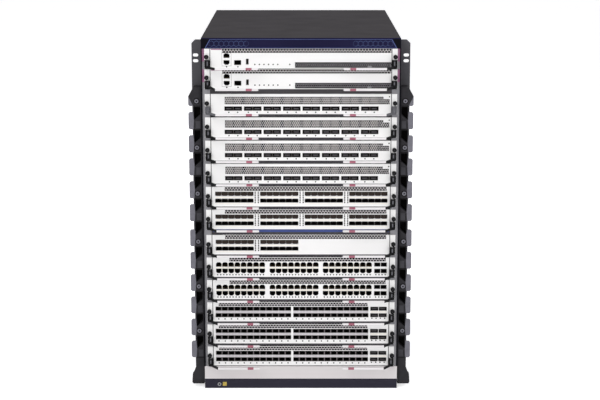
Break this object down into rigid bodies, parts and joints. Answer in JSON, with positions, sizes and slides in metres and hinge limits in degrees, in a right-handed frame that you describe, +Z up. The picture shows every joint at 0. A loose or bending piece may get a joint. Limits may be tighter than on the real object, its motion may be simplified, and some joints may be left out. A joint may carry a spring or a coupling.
{
  "type": "modular chassis switch",
  "caption": "Tall rack-mount network chassis with stacked plug-in cards on ejector levers, side cable guides, rear fan trays and power modules.",
  "frame": {"origin": "centre of the bounding box's base, on the flat bottom of the case", "axes": "+Z up, -Y out of the front with the plug-in cards, +X to the right of a person facing the front"},
  "size_m": [0.495, 0.726, 0.797],
  "materials": {
    "case_paint": "fine textured dark grey powder coat",
    "bezel_plastic": "smooth navy moulding",
    "silver_paint": "satin silver paint",
    "band_plastic": "matte dark plinth",
    "zinc_steel": "zinc-plated sheet",
    "circuit_board": "solder-masked board",
    "ear_paint": "satin dark grey paint",
    "guide_plastic": "matte black-grey moulding",
    "card_metal": "satin light silver",
    "lever_plastic": "black arm with a silver handle bar",
    "module_paint": "satin grey paint",
    "rotor_plastic": "black glass-filled plastic"
  },
  "bodies": {
    "chassis": {"chassis_shell": "case_paint", "front_bezel": "bezel_plastic", "lower_front_panel": "silver_paint", "base_band": "band_plastic", "card_guides": "zinc_steel", "backplane": "circuit_board", "rack_ear_right": "ear_paint", "rack_ear_left": "ear_paint", "cable_guide_right": "guide_plastic", "cable_guide_left": "guide_plastic"},
    "control_card_1": {"control_card_1": "card_metal"},
    "control_card_1_lever_right": {"control_card_1_lever_right": "lever_plastic"},
    "control_card_1_lever_left": {"control_card_1_lever_left": "lever_plastic"},
    "control_card_2": {"control_card_2": "card_metal"},
    "control_card_2_lever_right": {"control_card_2_lever_right": "lever_plastic"},
    "control_card_2_lever_left": {"control_card_2_lever_left": "lever_plastic"},
    "line_card_01": {"line_card_01": "card_metal"},
    "line_card_01_lever_right": {"line_card_01_lever_right": "lever_plastic"},
    "line_card_01_lever_left": {"line_card_01_lever_left": "lever_plastic"},
    "line_card_02": {"line_card_02": "card_metal"},
    "line_card_02_lever_right": {"line_card_02_lever_right": "lever_plastic"},
    "line_card_02_lever_left": {"line_card_02_lever_left": "lever_plastic"},
    "line_card_03": {"line_card_03": "card_metal"},
    "line_card_03_lever_right": {"line_card_03_lever_right": "lever_plastic"},
    "line_card_03_lever_left": {"line_card_03_lever_left": "lever_plastic"},
    "line_card_04": {"line_card_04": "card_metal"},
    "line_card_04_lever_right": {"line_card_04_lever_right": "lever_plastic"},
    "line_card_04_lever_left": {"line_card_04_lever_left": "lever_plastic"},
    "line_card_05": {"line_card_05": "card_metal"},
    "line_card_05_lever_right": {"line_card_05_lever_right": "lever_plastic"},
    "line_card_05_lever_left": {"line_card_05_lever_left": "lever_plastic"},
    "line_card_06": {"line_card_06": "card_metal"},
    "line_card_06_lever_right": {"line_card_06_lever_right": "lever_plastic"},
    "line_card_06_lever_left": {"line_card_06_lever_left": "lever_plastic"},
    "line_card_07": {"line_card_07": "card_metal"},
    "line_card_07_lever_right": {"line_card_07_lever_right": "lever_plastic"},
    "line_card_07_lever_left": {"line_card_07_lever_left": "lever_plastic"},
    "line_card_08": {"line_card_08": "card_metal"},
    "line_card_08_lever_right": {"line_card_08_lever_right": "lever_plastic"},
    "line_card_08_lever_left": {"line_card_08_lever_left": "lever_plastic"},
    "line_card_09": {"line_card_09": "card_metal"},
    "line_card_09_lever_right": {"line_card_09_lever_right": "lever_plastic"},
    "line_card_09_lever_left": {"line_card_09_lever_left": "lever_plastic"},
    "line_card_10": {"line_card_10": "card_metal"},
    "line_card_10_lever_right": {"line_card_10_lever_right": "lever_plastic"},
    "line_card_10_lever_left": {"line_card_10_lever_left": "lever_plastic"},
    "line_card_11": {"line_card_11": "card_metal"},
    "line_card_11_lever_right": {"line_card_11_lever_right": "lever_plastic"},
    "line_card_11_lever_left": {"line_card_11_lever_left": "lever_plastic"},
    "line_card_12": {"line_card_12": "card_metal"},
    "line_card_12_lever_right": {"line_card_12_lever_right": "lever_plastic"},
    "line_card_12_lever_left": {"line_card_12_lever_left": "lever_plastic"},
    "fan_tray_1": {"fan_tray_1": "module_paint"},
    "fan_rotor_1": {"fan_rotor_1": "rotor_plastic"},
    "fan_rotor_2": {"fan_rotor_2": "rotor_plastic"},
    "fan_tray_2": {"fan_tray_2": "module_paint"},
    "fan_rotor_3": {"fan_rotor_3": "rotor_plastic"},
    "fan_rotor_4": {"fan_rotor_4": "rotor_plastic"},
    "power_supply_right": {"power_supply_right": "module_paint"},
    "power_supply_left": {"power_supply_left": "module_paint"}
  },
  "joints": [
    {"name": "control_card_1_slide", "type": "slide", "parent": "chassis", "child": "control_card_1", "axis": [0, -1, 0], "range_m": [0, 0.35]},
    {"name": "control_card_1_lever_right_hinge", "type": "hinge", "parent": "control_card_1", "child": "control_card_1_lever_right", "pos_m": [0.2035, -0.3366, 0], "axis": [0, 0, 1], "range_deg": [0, 60]},
    {"name": "control_card_1_lever_left_hinge", "type": "hinge", "parent": "control_card_1", "child": "control_card_1_lever_left", "pos_m": [-0.2035, -0.3366, 0], "axis": [0, 0, -1], "range_deg": [0, 60]},
    {"name": "control_card_2_slide", "type": "slide", "parent": "chassis", "child": "control_card_2", "axis": [0, -1, 0], "range_m": [0, 0.35]},
    {"name": "control_card_2_lever_right_hinge", "type": "hinge", "parent": "control_card_2", "child": "control_card_2_lever_right", "pos_m": [0.2035, -0.3366, 0], "axis": [0, 0, 1], "range_deg": [0, 60]},
    {"name": "control_card_2_lever_left_hinge", "type": "hinge", "parent": "control_card_2", "child": "control_card_2_lever_left", "pos_m": [-0.2035, -0.3366, 0], "axis": [0, 0, -1], "range_deg": [0, 60]},
    {"name": "line_card_01_slide", "type": "slide", "parent": "chassis", "child": "line_card_01", "axis": [0, -1, 0], "range_m": [0, 0.35]},
    {"name": "line_card_01_lever_right_hinge", "type": "hinge", "parent": "line_card_01", "child": "line_card_01_lever_right", "pos_m": [0.2035, -0.3366, 0], "axis": [0, 0, 1], "range_deg": [0, 60]},
    {"name": "line_card_01_lever_left_hinge", "type": "hinge", "parent": "line_card_01", "child": "line_card_01_lever_left", "pos_m": [-0.2035, -0.3366, 0], "axis": [0, 0, -1], "range_deg": [0, 60]},
    {"name": "line_card_02_slide", "type": "slide", "parent": "chassis", "child": "line_card_02", "axis": [0, -1, 0], "range_m": [0, 0.35]},
    {"name": "line_card_02_lever_right_hinge", "type": "hinge", "parent": "line_card_02", "child": "line_card_02_lever_right", "pos_m": [0.2035, -0.3366, 0], "axis": [0, 0, 1], "range_deg": [0, 60]},
    {"name": "line_card_02_lever_left_hinge", "type": "hinge", "parent": "line_card_02", "child": "line_card_02_lever_left", "pos_m": [-0.2035, -0.3366, 0], "axis": [0, 0, -1], "range_deg": [0, 60]},
    {"name": "line_card_03_slide", "type": "slide", "parent": "chassis", "child": "line_card_03", "axis": [0, -1, 0], "range_m": [0, 0.35]},
    {"name": "line_card_03_lever_right_hinge", "type": "hinge", "parent": "line_card_03", "child": "line_card_03_lever_right", "pos_m": [0.2035, -0.3366, 0], "axis": [0, 0, 1], "range_deg": [0, 60]},
    {"name": "line_card_03_lever_left_hinge", "type": "hinge", "parent": "line_card_03", "child": "line_card_03_lever_left", "pos_m": [-0.2035, -0.3366, 0], "axis": [0, 0, -1], "range_deg": [0, 60]},
    {"name": "line_card_04_slide", "type": "slide", "parent": "chassis", "child": "line_card_04", "axis": [0, -1, 0], "range_m": [0, 0.35]},
    {"name": "line_card_04_lever_right_hinge", "type": "hinge", "parent": "line_card_04", "child": "line_card_04_lever_right", "pos_m": [0.2035, -0.3366, 0], "axis": [0, 0, 1], "range_deg": [0, 60]},
    {"name": "line_card_04_lever_left_hinge", "type": "hinge", "parent": "line_card_04", "child": "line_card_04_lever_left", "pos_m": [-0.2035, -0.3366, 0], "axis": [0, 0, -1], "range_deg": [0, 60]},
    {"name": "line_card_05_slide", "type": "slide", "parent": "chassis", "child": "line_card_05", "axis": [0, -1, 0], "range_m": [0, 0.35]},
    {"name": "line_card_05_lever_right_hinge", "type": "hinge", "parent": "line_card_05", "child": "line_card_05_lever_right", "pos_m": [0.2035, -0.3366, 0], "axis": [0, 0, 1], "range_deg": [0, 60]},
    {"name": "line_card_05_lever_left_hinge", "type": "hinge", "parent": "line_card_05", "child": "line_card_05_lever_left", "pos_m": [-0.2035, -0.3366, 0], "axis": [0, 0, -1], "range_deg": [0, 60]},
    {"name": "line_card_06_slide", "type": "slide", "parent": "chassis", "child": "line_card_06", "axis": [0, -1, 0], "range_m": [0, 0.35]},
    {"name": "line_card_06_lever_right_hinge", "type": "hinge", "parent": "line_card_06", "child": "line_card_06_lever_right", "pos_m": [0.2035, -0.3366, 0], "axis": [0, 0, 1], "range_deg": [0, 60]},
    {"name": "line_card_06_lever_left_hinge", "type": "hinge", "parent": "line_card_06", "child": "line_card_06_lever_left", "pos_m": [-0.2035, -0.3366, 0], "axis": [0, 0, -1], "range_deg": [0, 60]},
    {"name": "line_card_07_slide", "type": "slide", "parent": "chassis", "child": "line_card_07", "axis": [0, -1, 0], "range_m": [0, 0.35]},
    {"name": "line_card_07_lever_right_hinge", "type": "hinge", "parent": "line_card_07", "child": "line_card_07_lever_right", "pos_m": [0.2035, -0.3366, 0], "axis": [0, 0, 1], "range_deg": [0, 60]},
    {"name": "line_card_07_lever_left_hinge", "type": "hinge", "parent": "line_card_07", "child": "line_card_07_lever_left", "pos_m": [-0.2035, -0.3366, 0], "axis": [0, 0, -1], "range_deg": [0, 60]},
    {"name": "line_card_08_slide", "type": "slide", "parent": "chassis", "child": "line_card_08", "axis": [0, -1, 0], "range_m": [0, 0.35]},
    {"name": "line_card_08_lever_right_hinge", "type": "hinge", "parent": "line_card_08", "child": "line_card_08_lever_right", "pos_m": [0.2035, -0.3366, 0], "axis": [0, 0, 1], "range_deg": [0, 60]},
    {"name": "line_card_08_lever_left_hinge", "type": "hinge", "parent": "line_card_08", "child": "line_card_08_lever_left", "pos_m": [-0.2035, -0.3366, 0], "axis": [0, 0, -1], "range_deg": [0, 60]},
    {"name": "line_card_09_slide", "type": "slide", "parent": "chassis", "child": "line_card_09", "axis": [0, -1, 0], "range_m": [0, 0.35]},
    {"name": "line_card_09_lever_right_hinge", "type": "hinge", "parent": "line_card_09", "child": "line_card_09_lever_right", "pos_m": [0.2035, -0.3366, 0], "axis": [0, 0, 1], "range_deg": [0, 60]},
    {"name": "line_card_09_lever_left_hinge", "type": "hinge", "parent": "line_card_09", "child": "line_card_09_lever_left", "pos_m": [-0.2035, -0.3366, 0], "axis": [0, 0, -1], "range_deg": [0, 60]},
    {"name": "line_card_10_slide", "type": "slide", "parent": "chassis", "child": "line_card_10", "axis": [0, -1, 0], "range_m": [0, 0.35]},
    {"name": "line_card_10_lever_right_hinge", "type": "hinge", "parent": "line_card_10", "child": "line_card_10_lever_right", "pos_m": [0.2035, -0.3366, 0], "axis": [0, 0, 1], "range_deg": [0, 60]},
    {"name": "line_card_10_lever_left_hinge", "type": "hinge", "parent": "line_card_10", "child": "line_card_10_lever_left", "pos_m": [-0.2035, -0.3366, 0], "axis": [0, 0, -1], "range_deg": [0, 60]},
    {"name": "line_card_11_slide", "type": "slide", "parent": "chassis", "child": "line_card_11", "axis": [0, -1, 0], "range_m": [0, 0.35]},
    {"name": "line_card_11_lever_right_hinge", "type": "hinge", "parent": "line_card_11", "child": "line_card_11_lever_right", "pos_m": [0.2035, -0.3366, 0], "axis": [0, 0, 1], "range_deg": [0, 60]},
    {"name": "line_card_11_lever_left_hinge", "type": "hinge", "parent": "line_card_11", "child": "line_card_11_lever_left", "pos_m": [-0.2035, -0.3366, 0], "axis": [0, 0, -1], "range_deg": [0, 60]},
    {"name": "line_card_12_slide", "type": "slide", "parent": "chassis", "child": "line_card_12", "axis": [0, -1, 0], "range_m": [0, 0.35]},
    {"name": "line_card_12_lever_right_hinge", "type": "hinge", "parent": "line_card_12", "child": "line_card_12_lever_right", "pos_m": [0.2035, -0.3366, 0], "axis": [0, 0, 1], "range_deg": [0, 60]},
    {"name": "line_card_12_lever_left_hinge", "type": "hinge", "parent": "line_card_12", "child": "line_card_12_lever_left", "pos_m": [-0.2035, -0.3366, 0], "axis": [0, 0, -1], "range_deg": [0, 60]},
    {"name": "fan_tray_1_slide", "type": "slide", "parent": "chassis", "child": "fan_tray_1", "axis": [0, 1, 0], "range_m": [0, 0.085]},
    {"name": "fan_rotor_1_spin", "type": "hinge", "parent": "fan_tray_1", "child": "fan_rotor_1", "pos_m": [-0.10155, 0.28, 0.29933], "axis": [0, 1, 0], "continuous": true},
    {"name": "fan_rotor_2_spin", "type": "hinge", "parent": "fan_tray_1", "child": "fan_rotor_2", "pos_m": [0.10155, 0.28, 0.29933], "axis": [0, 1, 0], "continuous": true},
    {"name": "fan_tray_2_slide", "type": "slide", "parent": "chassis", "child": "fan_tray_2", "axis": [0, 1, 0], "range_m": [0, 0.085]},
    {"name": "fan_rotor_3_spin", "type": "hinge", "parent": "fan_tray_2", "child": "fan_rotor_3", "pos_m": [-0.10155, 0.28, 0.62967], "axis": [0, 1, 0], "continuous": true},
    {"name": "fan_rotor_4_spin", "type": "hinge", "parent": "fan_tray_2", "child": "fan_rotor_4", "pos_m": [0.10155, 0.28, 0.62967], "axis": [0, 1, 0], "continuous": true},
    {"name": "power_supply_right_slide", "type": "slide", "parent": "chassis", "child": "power_supply_right", "axis": [0, 1, 0], "range_m": [0, 0.19]},
    {"name": "power_supply_left_slide", "type": "slide", "parent": "chassis", "child": "power_supply_left", "axis": [0, 1, 0], "range_m": [0, 0.19]}
  ]
}
